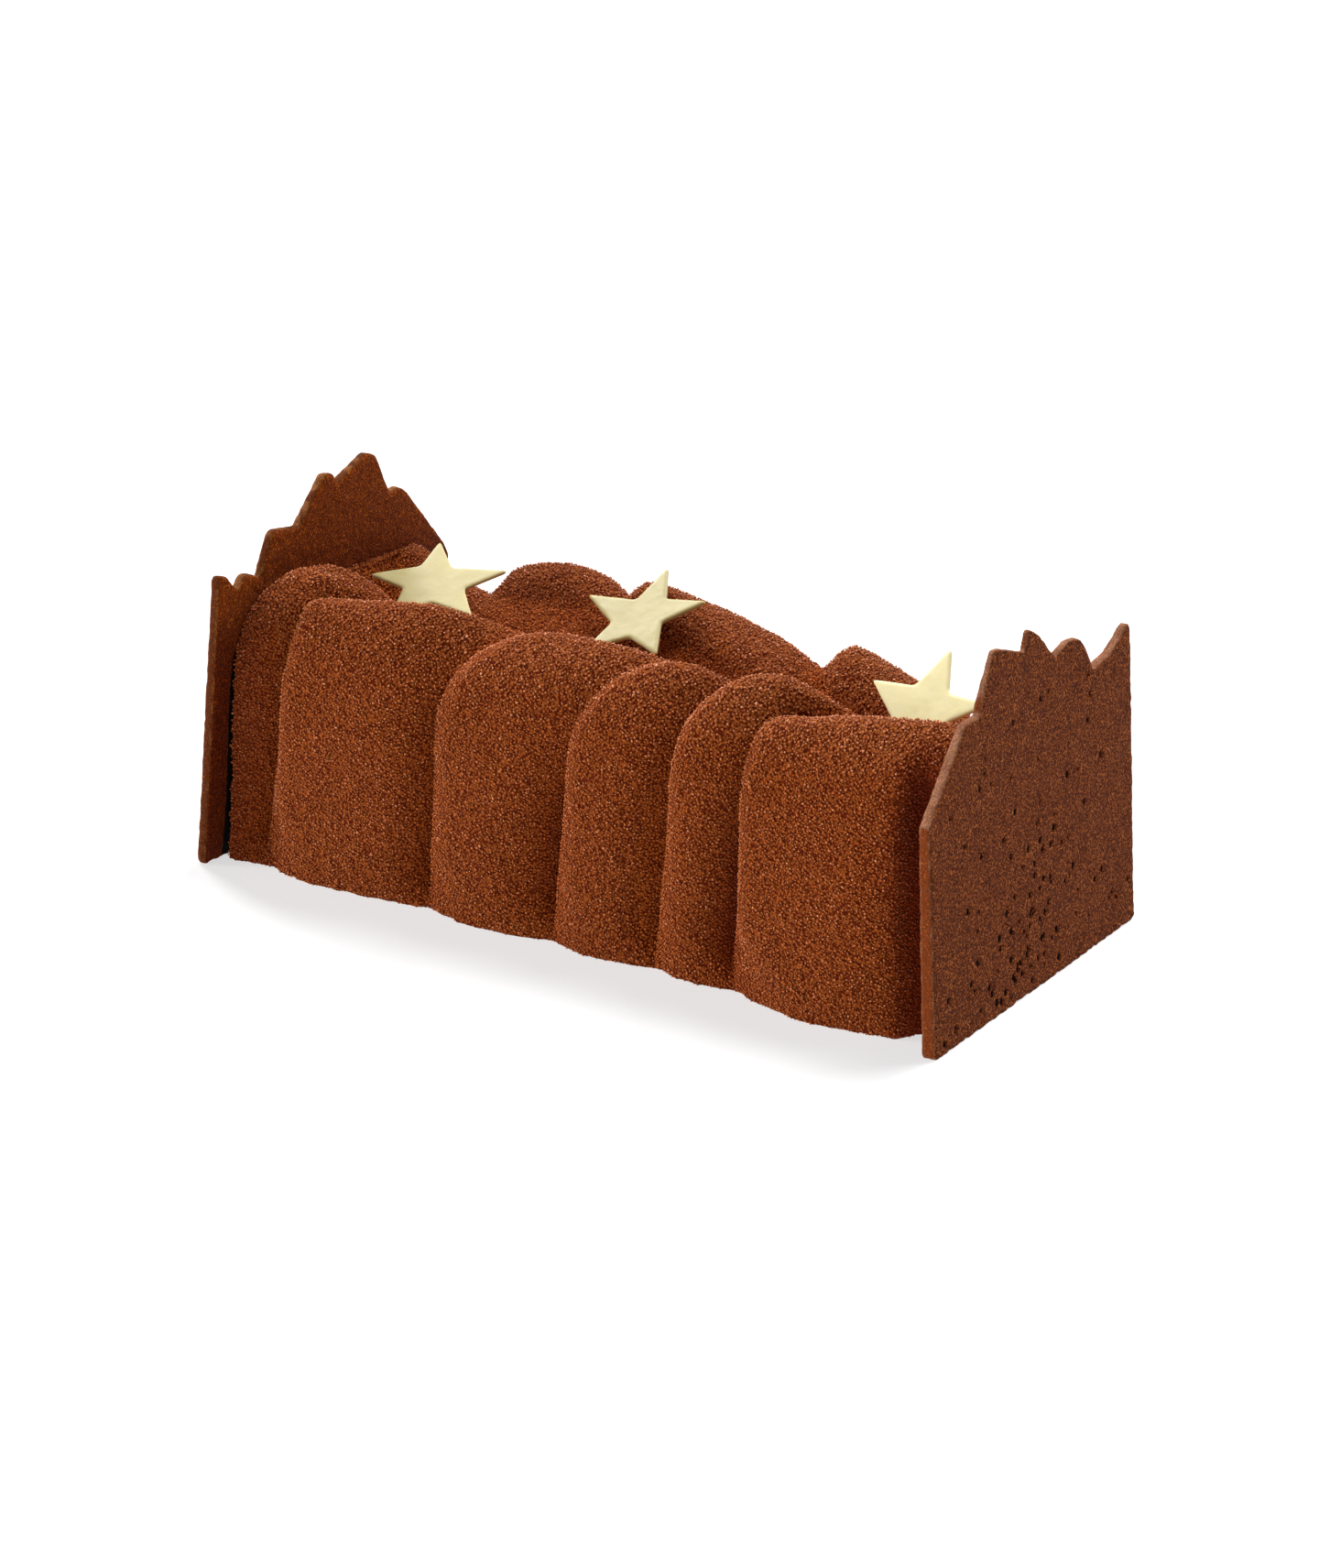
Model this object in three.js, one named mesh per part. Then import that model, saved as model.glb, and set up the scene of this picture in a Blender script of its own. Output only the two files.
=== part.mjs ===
// Yule log cake: a lobed cream log between two upright cut chocolate end plates,
// with three fondant stars lying along the groove on top.
// Units are millimetres, +Z is up, +X runs along the log, -Y is the front.
// The origin is the centre of the base.

import * as THREE from 'three';

// ---- driving sizes -------------------------------------------------------

const LENGTH = 233;              // outer faces of the plates at the base
const WIDTH = 110;               // depth of the plates, front to back
const HALF_LENGTH = LENGTH / 2;
const HALF_WIDTH = WIDTH / 2;

const LOG_HALF_WIDTH = 45;       // bare log before the lobes stand off it
const LOG_HEIGHT = 77.5;
const LOG_ROUNDING = 0.5;        // power of the superelliptic section
const LOG_STATIONS = 88;         // slices along X
const LOG_RING_STEPS = 27;       // steps from the base up to the groove
const SLICE_DRIFT = 0.07;        // slices of the front lean this far to +X per millimetre climbed
const SLICE_HOLD = 78;           // arc length up to which they lean
const SLICE_RELEASE = 22;        // arc length over which they return
const SLICE_END_SHARE = 0.08;    // share of the length over which the ends stay straight
const SECTION_SAMPLES = 1200;    // fine steps behind the arc length table
const NORMAL_STEP = 0.6;         // half span of the normal's difference

const GROOVE_SPREAD = 18;        // how wide the top groove is
const GROOVE_START = 20;         // the groove acts on what is above this
const GROOVE_RAMP = 30;
const LOBE_FADE = 16;            // lobes die out this far before the groove line
const FRONT_BLEND = 50;          // half width over which front and back mix
const PROFILE_SOFTENING = 4;     // spacing of the running mean on profiles

const CREASE_DEPTH = 2;          // bare skin lies this far below the envelope
const CREASE_CUT = 8;            // extra depth a side boundary may reach
const CREASE_DEEPER = 9;         // what a crease gains between the base and the rims
const CREASE_ONSET = 14;         // arc length from the base over which it deepens
const CREASE_HOLD = 62;          // arc length up to which it stays deep
const CREASE_RELEASE = 20;       // arc length over which it grows shallow again
const CREASE_SLOPE = 1.6;        // fall beside a lobe
const TOP_SLOPE = 0.5;           // fall behind the top edge of a lobe
const LOBE_JOIN = 2;             // radius with which one lobe meets the next
const LOBE_FALL_POWER = 1.8;     // how late a lobe falls off to its right, at base and rim
const LOBE_OVERRUN = 1.15;       // a lobe is followed this many reaches to its right
const FLANK_SHARE = 0.42;        // left flank's share of a lobe's width, at the base
const FLANK_ONSET = 24;          // arc length over which the flank takes its upper width
const RISE_HEIGHT = 78;          // arc length over which base values turn to top values
const WIDEN_START = 30;
const WIDEN_SPAN = 55;

const STRIP_WIDTH = 6;           // bare strip beside the right plate, below the shoulder
const STRIP_RAMP = 5;
const STRIP_TOP = 55;
const STRIP_FADE = 20;

const PLATE_EDGE = 0.7;          // rounding of every plate edge
const PLATE_CORNER = 1.1;        // rounding of the cut corners in the outline
const LEFT_PLATE_THICKNESS = 3;
const RIGHT_PLATE_THICKNESS = 4.4;
const RIGHT_PLATE_TAPER = 0.0175; // thickness lost per millimetre of height
const TIP_THINNING = 1;          // what the right plate's torn tips lose besides
const TIP_START = 78;            // height from which they do
const TIP_SPAN = 16;
const LEFT_LEAN = 0.0892;        // inward lean of each plate, mm per mm of height
const RIGHT_LEAN = 0.0711;

const FIT_GAP = 0.3;             // air left where two pieces meet
const LOG_LEFT_START = 5.9;       // the log's left end stands off its plate at the base
const LOG_LEFT_LEAN = 0.05;

const STAR_THICKNESS = 2.6;
const STAR_EDGE = 0.8;
const STAR_TIP_ROUND = 1.5;
const STAR_NOTCH_ROUND = 1.2;
const CORNER_STEPS = 3;

// ---- lobes of the log ----------------------------------------------------
// start, width: left boundary and pitch at the base
// drift: how far the boundary runs to +X per millimetre climbed
// rim, rimSlope: arc length of the top edge at the boundary, and its climb along X
// corner: radius of the upper left corner
// foot, crown: stand off at the base and at the top
// flank: left flank's width at the top
// reach: width over which the lobe dies out near the top
// plunge: how far the right end dives into the next crease
// bend: how late it dives
// hold: arc length up to which it dives fully

const FRONT_LOBES = [
  {
    start: -8, width: 27, drift: 0.14, rim: 93, rimSlope: 0.08, corner: 37,
    foot: 3, crown: 8.9, flank: 9, reach: 41, plunge: 14, bend: 3, hold: 58,
  },
  {
    start: 16, width: 56, drift: 0.14, rim: 73.8, rimSlope: 0.23, corner: 7,
    foot: 4.8, crown: 8.9, flank: 7, reach: 57, plunge: 14, bend: 6, hold: 46,
  },
  {
    start: 71, width: 42, drift: 0.045, rim: 83.6, rimSlope: 0.1, corner: 32,
    foot: 4.5, crown: 6.5, flank: 8, reach: 73, plunge: 14, bend: 4, hold: 66,
  },
  {
    start: 111, width: 34, drift: 0.085, rim: 87.1, rimSlope: -0.02, corner: 33,
    foot: 4, crown: 7.5, flank: 7, reach: 45, plunge: 12, bend: 3, hold: 68,
  },
  {
    start: 143, width: 27, drift: 0.08, rim: 85.8, rimSlope: 0.1, corner: 25,
    foot: 3, crown: 9, flank: 7, reach: 42, plunge: 26, bend: 3, hold: 70,
  },
  {
    start: 167, width: 62, drift: 0.025, rim: 74.7, rimSlope: 0.18, corner: 9,
    foot: 8, crown: 7.9, flank: 7, reach: 83, plunge: 12, bend: 4, hold: 62,
  },
];

const BACK_LOBES = [
  {
    start: -12, width: 56, drift: 0, rim: 71.1, rimSlope: 0.44, corner: 14,
    foot: 4, crown: 4.7, flank: 9, reach: 62, plunge: 10, bend: 4, hold: 55,
  },
  {
    start: 40, width: 49, drift: -0.01, rim: 82.7, rimSlope: 0.15, corner: 9,
    foot: 5, crown: 10.4, flank: 8, reach: 52, plunge: 9, bend: 3, hold: 60,
  },
  {
    start: 87, width: 64, drift: -0.006, rim: 86.9, rimSlope: 0.26, corner: 6,
    foot: 5, crown: 8, flank: 8, reach: 63, plunge: 10, bend: 4, hold: 58,
  },
  {
    start: 148, width: 40, drift: 0.018, rim: 86.6, rimSlope: 0.28, corner: 11,
    foot: 4, crown: 10.9, flank: 8, reach: 52, plunge: 9, bend: 3, hold: 60,
  },
  {
    start: 188, width: 56, drift: 0.05, rim: 84, rimSlope: 0.2, corner: 24,
    foot: 6, crown: 6, flank: 8, reach: 70, plunge: 8, bend: 4, hold: 58,
  },
];

// sideways run of every crease up the side: [arc length, shift along X]
const CREASE_BOW = [[0, 0.8], [20, 1], [35, 1.2], [50, -0.6], [62, -2], [75, -1], [90, 0]];

// the first front lobe is dented behind the left plate's edge
const DENT = { x: 9, s: 38, length: 10, width: 26, depth: 2.5 };

// share by which the front and the back row stand taller or lower along X
const FRONT_RISE = [[0, -0.094], [20, 0.041], [40, 0.018], [75, 0.01], [175, 0.001], [233, 0.024]];
const BACK_RISE = [
  [0, -0.03], [10, -0.056], [36, -0.199], [46, -0.142], [70, -0.071], [91, -0.067],
  [120, -0.119], [152, -0.159], [180, -0.269], [200, -0.25], [233, -0.25],
];
const GROOVE_DEPTH = [[0, 19], [45, 19], [80, 14], [130, 14], [175, 21], [233, 21]];

// ---- cut outlines of the plates, front to back: [depth, height] ----------

const LEFT_PLATE_CUTS = [
  [0, 84.9], [3.6, 83.7], [8.9, 78.1], [11.8, 82.1], [15, 81.2], [18.7, 79.1], [23.5, 91.3],
  [27.5, 91], [34, 89.7], [35.9, 90], [46.1, 102.1], [50.2, 101.1], [51.7, 97.8], [65.1, 103.2],
  [69.8, 101.7], [78, 88.1], [81.2, 89.1], [85.2, 87.5], [107.2, 65.3], [WIDTH, 61],
];

const RIGHT_PLATE_CUTS = [
  [0, 61], [19.8, 81.9], [27.6, 81.8], [29.3, 86.5], [35, 96.8], [38, 96.2], [45, 93.8],
  [51.4, 91.6], [53.5, 97], [57.6, 95], [62.5, 90.5], [67.6, 85.4], [71.5, 86.9], [75.1, 87.8],
  [79, 87.4], [81.8, 86.2], [84.5, 83.2], [88.6, 76], [100, 78], [109.2, 83.2], [WIDTH, 80],
];

// ---- stars ----------------------------------------------------------------
// at: centre, X from the left plate's foot, Y from the front, Z up
// tilt: towards the front, roll: about Y, spin: about the star's own axis, degrees
// arms: [radius, angle] of tip and of the notch that follows it, counterclockwise

const STARS = [
  {
    name: 'star_left', at: [37, 62.4, 69.7], tilt: 17.6, roll: 6, spin: 29.8,
    arms: [
      [20.9, 16.4], [8.6, 61], [20.4, 91.2], [10.2, 119], [19.9, 163.7],
      [8.9, 188], [18.8, 232], [8.2, 268], [19, 308], [8.6, 346],
    ],
  },
  {
    name: 'star_middle', at: [99.8, 70.1, 71.4], tilt: 26.2, roll: -4.2, spin: 5.7,
    arms: [
      [19.1, 19.5], [8.3, 50], [19, 88], [6.4, 124], [20.2, 161.3],
      [8.3, 210], [18.6, 235], [9.4, 275], [19.5, 306.4], [8.3, 339],
    ],
  },
  {
    name: 'star_right', at: [193.7, 58.7, 66.7], tilt: 42.5, roll: -6.1, spin: -5.3,
    arms: [
      [19, 17], [8.4, 50], [19.4, 89.7], [8.4, 128], [19.3, 162],
      [8.1, 211], [18, 236], [8.2, 270], [18.2, 306], [8.6, 344],
    ],
  },
];

// ---- small helpers ---------------------------------------------------------

const DEGREE = Math.PI / 180;

function clamp(value, low, high) {
  return Math.min(Math.max(value, low), high);
}

function mix(a, b, share) {
  return a + (b - a) * share;
}

function smooth(value) {
  const t = clamp(value, 0, 1);
  return t * t * (3 - 2 * t);
}

function smoothMax(a, b, radius) {
  const h = clamp(0.5 + (0.5 * (a - b)) / radius, 0, 1);
  return mix(b, a, h) + radius * h * (1 - h);
}

/** Height of a polyline of [position, value] pairs. */
function along(knots, position) {
  for (let i = 1; i < knots.length; i += 1) {
    const [x0, v0] = knots[i - 1];
    const [x1, v1] = knots[i];
    if (position <= x1) {
      return mix(v0, v1, clamp((position - x0) / (x1 - x0), 0, 1));
    }
  }
  return knots[knots.length - 1][1];
}

/** The same polyline with its corners softened by a running mean. */
function softAlong(knots, position) {
  let sum = 0;
  for (let k = -2; k <= 2; k += 1) {
    sum += along(knots, position + k * PROFILE_SOFTENING);
  }
  return sum / 5;
}

// ---- section of the bare log ------------------------------------------------

function makeSection() {
  const points = [];
  let length = 0;
  for (let i = 0; i <= SECTION_SAMPLES; i += 1) {
    const angle = (Math.PI / 2) * smooth(i / SECTION_SAMPLES);
    const y = -LOG_HALF_WIDTH * Math.cos(angle) ** LOG_ROUNDING;
    const z = LOG_HEIGHT * Math.sin(angle) ** LOG_ROUNDING;
    if (i > 0) {
      const last = points[i - 1];
      length += Math.hypot(y - last.y, z - last.z);
    }
    points.push({ s: length, y, z });
  }
  points[SECTION_SAMPLES].y = 0;
  return points;
}

const SECTION = makeSection();
const CROWN = SECTION[SECTION_SAMPLES].s;

function sectionPoint(s) {
  const target = clamp(s, 0, CROWN);
  let low = 0;
  let high = SECTION_SAMPLES;
  while (high - low > 1) {
    const middle = (low + high) >> 1;
    if (SECTION[middle].s <= target) {
      low = middle;
    } else {
      high = middle;
    }
  }
  const a = SECTION[low];
  const b = SECTION[high];
  const share = (target - a.s) / Math.max(b.s - a.s, 1e-9);
  return { y: mix(a.y, b.y, share), z: mix(a.z, b.z, share) };
}

function sectionNormal(s) {
  const before = sectionPoint(s - NORMAL_STEP);
  const after = sectionPoint(s + NORMAL_STEP);
  const ty = after.y - before.y;
  const tz = after.z - before.z;
  const length = Math.hypot(ty, tz);
  return { y: -tz / length, z: ty / length };
}

// ---- relief of the lobes ------------------------------------------------------

/** Share of the creases' full depth at an arc length: none at the base, none over the rims. */
function creaseShare(s, hold) {
  return smooth(s / CREASE_ONSET) * (1 - smooth((s - hold) / CREASE_RELEASE));
}

/** Stand off of one lobe at x (from the left plate's foot) and arc length s. */
function lobeHeight(lobe, x, s) {
  const left = lobe.start + lobe.drift * s + softAlong(CREASE_BOW, s);
  const rim = lobe.rim + lobe.rimSlope * (x - lobe.start);
  const qx = left + lobe.corner - x;
  const qs = s - (rim - lobe.corner);
  const ox = Math.max(qx, 0);
  const os = Math.max(qs, 0);
  const inside = lobe.corner - Math.hypot(ox, os) - Math.min(Math.max(qx, qs), 0);
  if (inside <= 0) {
    const topShare = (os * os) / (ox * ox + os * os + 1e-6);
    const slope = mix(CREASE_SLOPE, TOP_SLOPE, topShare);
    return Math.max(inside * slope, -CREASE_DEPTH - CREASE_CUT * (1 - topShare));
  }
  const up = smooth(s / RISE_HEIGHT);
  const standOff = mix(lobe.foot, lobe.crown, up);
  const flank = mix(FLANK_SHARE * lobe.width, lobe.flank, smooth(s / FLANK_ONSET));
  const reach = mix(lobe.width, lobe.reach, smooth((s - WIDEN_START) / WIDEN_SPAN));
  const rise = Math.sin((Math.PI / 2) * clamp(inside / flank, 0, 1));
  const run = clamp((x - left) / reach, 0, LOBE_OVERRUN);
  const share = creaseShare(s, lobe.hold);
  const fall = Math.cos((Math.PI / 2) * run ** mix(LOBE_FALL_POWER, lobe.bend, share));
  return standOff * rise * fall - lobe.plunge * share * run ** (lobe.bend + 1);
}

/** Place of a slice at an arc length; slices run along the creases, but for the two ends. */
function sliceX(share, s, side) {
  const { z } = sectionPoint(s);
  const straight = mix(LOG_LEFT_START + LOG_LEFT_LEAN * z, rightEnd(z), share);
  const slant = side < 0 ? SLICE_DRIFT * s * (1 - smooth((s - SLICE_HOLD) / SLICE_RELEASE)) : 0;
  const free = clamp(Math.min(share, 1 - share) / SLICE_END_SHARE, 0, 1);
  return straight + free * (slant + softAlong(CREASE_BOW, s));
}

/** The log's right end at a height, a fitting gap short of its plate's inner face. */
function rightEnd(z) {
  return LENGTH - RIGHT_PLATE_THICKNESS - FIT_GAP - (RIGHT_LEAN - RIGHT_PLATE_TAPER) * z;
}

function relief(lobes, x, s, z) {
  let height = -CREASE_DEPTH - CREASE_DEEPER * creaseShare(s, CREASE_HOLD);
  for (const lobe of lobes) {
    height = smoothMax(lobeHeight(lobe, x, s), height, LOBE_JOIN);
  }
  const beside = smooth((x - rightEnd(z) + STRIP_WIDTH + STRIP_RAMP) / STRIP_RAMP);
  const strip = beside * (1 - smooth((s - STRIP_TOP) / STRIP_FADE));
  return mix(height, -CREASE_DEPTH, strip) * smooth((CROWN - s) / LOBE_FADE);
}

/** Depth of the front's dent at x and arc length s. */
function dentDepth(x, s) {
  const acrossShare = ((x - DENT.x) / DENT.length) ** 2;
  const upShare = ((s - DENT.s) / DENT.width) ** 2;
  return DENT.depth * Math.exp(-acrossShare - upShare);
}

/** Point of the log's skin; side is -1 for the front row and 1 for the back row. */
function logPoint(x, s, side) {
  const base = sectionPoint(s);
  const normal = sectionNormal(s);
  const row = relief(side < 0 ? FRONT_LOBES : BACK_LOBES, x, s, base.z);
  const height = side < 0 ? row - dentDepth(x, s) : row;
  const y = -side * (base.y + normal.y * height);
  const rawZ = Math.max(base.z + normal.z * height, 0);
  const groove = softAlong(GROOVE_DEPTH, x) * Math.exp(-((y / GROOVE_SPREAD) ** 2));
  const z = rawZ - groove * smooth((rawZ - GROOVE_START) / GROOVE_RAMP);
  const front = smooth(0.5 - y / FRONT_BLEND);
  const rise = mix(softAlong(BACK_RISE, x), softAlong(FRONT_RISE, x), front);
  return new THREE.Vector3(x - HALF_LENGTH, y, z * (1 + rise));
}

// ---- mesh building --------------------------------------------------------------

/** Collects vertices and faces of one closed body. */
class Body {
  constructor() {
    this.positions = [];
    this.faces = [];
  }

  add(point) {
    this.positions.push(point.x, point.y, point.z);
    return this.positions.length / 3 - 1;
  }

  triangle(a, b, c) {
    this.faces.push(a, b, c);
  }

  quad(a, b, c, d) {
    this.triangle(a, b, c);
    this.triangle(a, c, d);
  }

  geometry() {
    const geometry = new THREE.BufferGeometry();
    geometry.setAttribute('position', new THREE.Float32BufferAttribute(this.positions, 3));
    geometry.setIndex(this.faces);
    geometry.computeVertexNormals();
    return geometry;
  }
}

function makeLog() {
  const body = new Body();
  const rings = [];
  for (let i = 0; i <= LOG_STATIONS; i += 1) {
    const ring = [];
    for (let k = 0; k <= 2 * LOG_RING_STEPS; k += 1) {
      const side = k <= LOG_RING_STEPS ? -1 : 1;
      const step = side < 0 ? k : 2 * LOG_RING_STEPS - k;
      const s = CROWN * (step / LOG_RING_STEPS);
      ring.push(body.add(logPoint(sliceX(i / LOG_STATIONS, s, side), s, side)));
    }
    rings.push(ring);
  }
  const last = 2 * LOG_RING_STEPS;
  for (let i = 0; i < LOG_STATIONS; i += 1) {
    for (let k = 0; k < last; k += 1) {
      body.quad(rings[i][k], rings[i + 1][k], rings[i + 1][k + 1], rings[i][k + 1]);
    }
    body.quad(rings[i][last], rings[i + 1][last], rings[i + 1][0], rings[i][0]);
  }
  const left = rings[0];
  const right = rings[LOG_STATIONS];
  for (let k = 0; k < LOG_RING_STEPS; k += 1) {
    const m = last - k;
    if (k + 1 === LOG_RING_STEPS) {
      body.triangle(left[k], left[k + 1], left[m]);
      body.triangle(right[k], right[m], right[k + 1]);
    } else {
      body.quad(left[k], left[k + 1], left[m - 1], left[m]);
      body.quad(right[k], right[m], right[m - 1], right[k + 1]);
    }
  }
  return body.geometry();
}

// ---- cut slabs: plates and stars ----------------------------------------------

/** Rounds every corner of a closed outline with a short curve. */
function roundCorners(outline, radiusAt) {
  const result = [];
  const count = outline.length;
  outline.forEach((corner, i) => {
    const before = outline[(i + count - 1) % count];
    const after = outline[(i + 1) % count];
    const toBefore = before.clone().sub(corner);
    const toAfter = after.clone().sub(corner);
    const reach = Math.min(radiusAt(i), 0.42 * toBefore.length(), 0.42 * toAfter.length());
    const a = corner.clone().add(toBefore.setLength(reach));
    const c = corner.clone().add(toAfter.setLength(reach));
    for (let k = 0; k <= CORNER_STEPS; k += 1) {
      const t = k / CORNER_STEPS;
      const ab = a.clone().lerp(corner, t);
      const bc = corner.clone().lerp(c, t);
      result.push(ab.lerp(bc, t));
    }
  });
  return result;
}

/** Moves the corners of a counterclockwise outline so that every edge shifts inwards. */
function insetCorners(corners, distance) {
  const count = corners.length;
  return corners.map((corner, i) => {
    const before = corners[(i + count - 1) % count];
    const after = corners[(i + 1) % count];
    const into = corner.clone().sub(before).normalize();
    const out = after.clone().sub(corner).normalize();
    const scale = distance / (1 + into.dot(out));
    const x = corner.x - (into.y + out.y) * scale;
    return new THREE.Vector2(x, corner.y + (into.x + out.x) * scale);
  });
}

/** Closed slab over rounded corners; place maps (u, v, w) to a point, w runs 0 to 1. */
function makeSlab(corners, radiusAt, thickness, edge, edgeSteps, place) {
  const body = new Body();
  const layers = [];
  for (let k = 0; k <= edgeSteps; k += 1) {
    const angle = (Math.PI / 2) * (k / edgeSteps);
    layers.push({ inward: edge * (1 - Math.sin(angle)), depth: edge * (1 - Math.cos(angle)) });
  }
  for (let k = edgeSteps; k >= 0; k -= 1) {
    layers.push({ inward: layers[k].inward, depth: thickness - layers[k].depth });
  }
  const outlineAt = (inward) => roundCorners(insetCorners(corners, inward), radiusAt);
  const rings = layers.map(({ inward, depth }) =>
    outlineAt(inward).map((p) => body.add(place(p.x, p.y, depth / thickness))));
  const count = rings[0].length;
  for (let r = 0; r + 1 < rings.length; r += 1) {
    for (let i = 0; i < count; i += 1) {
      const j = (i + 1) % count;
      body.quad(rings[r][i], rings[r][j], rings[r + 1][j], rings[r + 1][i]);
    }
  }
  const top = rings[rings.length - 1];
  const bottom = rings[0];
  for (const [a, b, c] of THREE.ShapeUtils.triangulateShape(outlineAt(edge), [])) {
    body.triangle(top[a], top[b], top[c]);
    body.triangle(bottom[a], bottom[c], bottom[b]);
  }
  return body.geometry();
}

/** Plate corners, counterclockwise seen from +X: along the base, then back along the cuts. */
function plateCorners(cuts) {
  const corners = [new THREE.Vector2(0, 0), new THREE.Vector2(WIDTH, 0)];
  for (let i = cuts.length - 1; i >= 0; i -= 1) {
    corners.push(new THREE.Vector2(cuts[i][0], cuts[i][1]));
  }
  return corners;
}

function makePlate(cuts, thickness, place) {
  return makeSlab(plateCorners(cuts), () => PLATE_CORNER, thickness, PLATE_EDGE, 1, place);
}

function makeLeftPlate() {
  return makePlate(LEFT_PLATE_CUTS, LEFT_PLATE_THICKNESS, (u, v, w) => {
    const outer = -HALF_LENGTH + LEFT_LEAN * v;
    return new THREE.Vector3(outer + LEFT_PLATE_THICKNESS * w, u - HALF_WIDTH, v);
  });
}

function makeRightPlate() {
  return makePlate(RIGHT_PLATE_CUTS, RIGHT_PLATE_THICKNESS, (u, v, w) => {
    const thinning = TIP_THINNING * smooth((v - TIP_START) / TIP_SPAN);
    const thickness = RIGHT_PLATE_THICKNESS - RIGHT_PLATE_TAPER * v - thinning;
    const outer = HALF_LENGTH - RIGHT_LEAN * v;
    return new THREE.Vector3(outer - thickness * (1 - w), u - HALF_WIDTH, v);
  });
}

function makeStar(star) {
  const corners = star.arms.map(([radius, angle]) =>
    new THREE.Vector2(radius * Math.cos(angle * DEGREE), radius * Math.sin(angle * DEGREE)));
  const radiusAt = (i) => (i % 2 === 0 ? STAR_TIP_ROUND : STAR_NOTCH_ROUND);
  const pose = new THREE.Matrix4()
    .makeTranslation(star.at[0] - HALF_LENGTH, star.at[1] - HALF_WIDTH, star.at[2])
    .multiply(new THREE.Matrix4().makeRotationY(star.roll * DEGREE))
    .multiply(new THREE.Matrix4().makeRotationX(star.tilt * DEGREE))
    .multiply(new THREE.Matrix4().makeRotationZ(star.spin * DEGREE));
  return makeSlab(corners, radiusAt, STAR_THICKNESS, STAR_EDGE, 2, (u, v, w) =>
    new THREE.Vector3(u, v, STAR_THICKNESS * (w - 0.5)).applyMatrix4(pose));
}

// ---- assembly -------------------------------------------------------------------

function solid(name, geometry, color, roughness) {
  const material = new THREE.MeshStandardMaterial({ color, roughness, metalness: 0 });
  material.name = `${name}_finish`;
  const mesh = new THREE.Mesh(geometry, material);
  mesh.name = name;
  return mesh;
}

const CREAM_BROWN = 0x78381c;
const PLATE_BROWN = 0x63341e;
const STAR_CREAM = 0xe7ddad;

const group = new THREE.Group();
group.name = 'yule_log_cake';
group.add(solid('cake_log', makeLog(), CREAM_BROWN, 0.85));
group.add(solid('end_plate_left', makeLeftPlate(), PLATE_BROWN, 0.7));
group.add(solid('end_plate_right', makeRightPlate(), PLATE_BROWN, 0.7));
for (const star of STARS) {
  group.add(solid(star.name, makeStar(star), STAR_CREAM, 0.6));
}

export default group;
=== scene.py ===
"""Looks of a yule log cake: a velvet-sprayed log, two torn cocoa plates and three fondant stars.

The solids give every piece its place. Lengths are in millimetres in the numbers below and are
turned into metres where a mesh is made. X runs along the log, -Y is its front, Z is up.
"""
import logging
import math
from dataclasses import dataclass
from enum import Enum

import bmesh
import bpy
import numpy as np
from bpy.types import Material, Mesh, Node, NodeSocket as Socket, NodeTree, Object
from mathutils import Matrix, Vector


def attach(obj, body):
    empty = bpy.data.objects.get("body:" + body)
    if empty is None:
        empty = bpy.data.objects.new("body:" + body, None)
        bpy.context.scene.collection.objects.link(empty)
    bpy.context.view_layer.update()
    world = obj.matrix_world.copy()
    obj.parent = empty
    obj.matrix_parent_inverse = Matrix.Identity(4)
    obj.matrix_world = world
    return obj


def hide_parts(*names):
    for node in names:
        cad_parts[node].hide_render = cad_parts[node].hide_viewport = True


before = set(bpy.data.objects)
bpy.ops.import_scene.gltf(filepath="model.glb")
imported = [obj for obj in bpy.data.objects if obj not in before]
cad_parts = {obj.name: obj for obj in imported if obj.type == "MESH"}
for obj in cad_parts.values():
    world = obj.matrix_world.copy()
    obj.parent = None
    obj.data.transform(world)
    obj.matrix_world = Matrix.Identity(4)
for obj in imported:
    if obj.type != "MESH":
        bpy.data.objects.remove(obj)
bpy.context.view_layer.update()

MM = 0.001
BODY = "root"
KNOT_SPREAD = 4.0  # distance between the five places that a knotted curve is averaged over
LOG = logging.getLogger("yule_log")

Triple = tuple[float, float, float]
Curve = tuple[tuple[float, float], ...]
Zone = tuple[float, float]
Array = np.ndarray


class Slot(Enum):
    """The names of the cake's finishes."""

    VELVET = "velvet_chocolate_cream"
    COCOA = "cocoa_plate"
    FONDANT = "pale_fondant"


class Side(Enum):
    """The two long sides of the log, with the sign of Y that each lies on."""

    FRONT = -1
    BACK = 1


# ---------------------------------------------------------------- small mathematics


def smooth(t: Array) -> Array:
    """Returns the smoothstep of t, held between 0 and 1."""
    t = np.clip(t, 0.0, 1.0)
    return t * t * (3.0 - 2.0 * t)


def ramp(t: Array, zone: Zone) -> Array:
    """Returns a smooth rise from 0 to 1 over a zone, which is its start and its length."""
    return smooth((t - zone[0]) / zone[1])


def fade(t: Array, zone: Zone) -> Array:
    """Returns a smooth fall from 1 to 0 over a zone, which is its start and its length."""
    return 1 - ramp(t, zone)


def smooth_max(a: Array, b: Array, radius: float) -> Array:
    """Returns the larger of a and b, blended where they differ by less than the radius."""
    h = np.clip(0.5 + 0.5 * (a - b) / radius, 0.0, 1.0)
    return b + (a - b) * h + radius * h * (1.0 - h)


def knots(curve: Curve, x: Array) -> Array:
    """Returns a knotted curve at x, averaged over five places near it so that no corners show."""
    places, values = np.asarray(curve, float).T
    return sum(np.interp(x + j * KNOT_SPREAD, places, values) for j in range(-2, 3)) / 5


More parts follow.
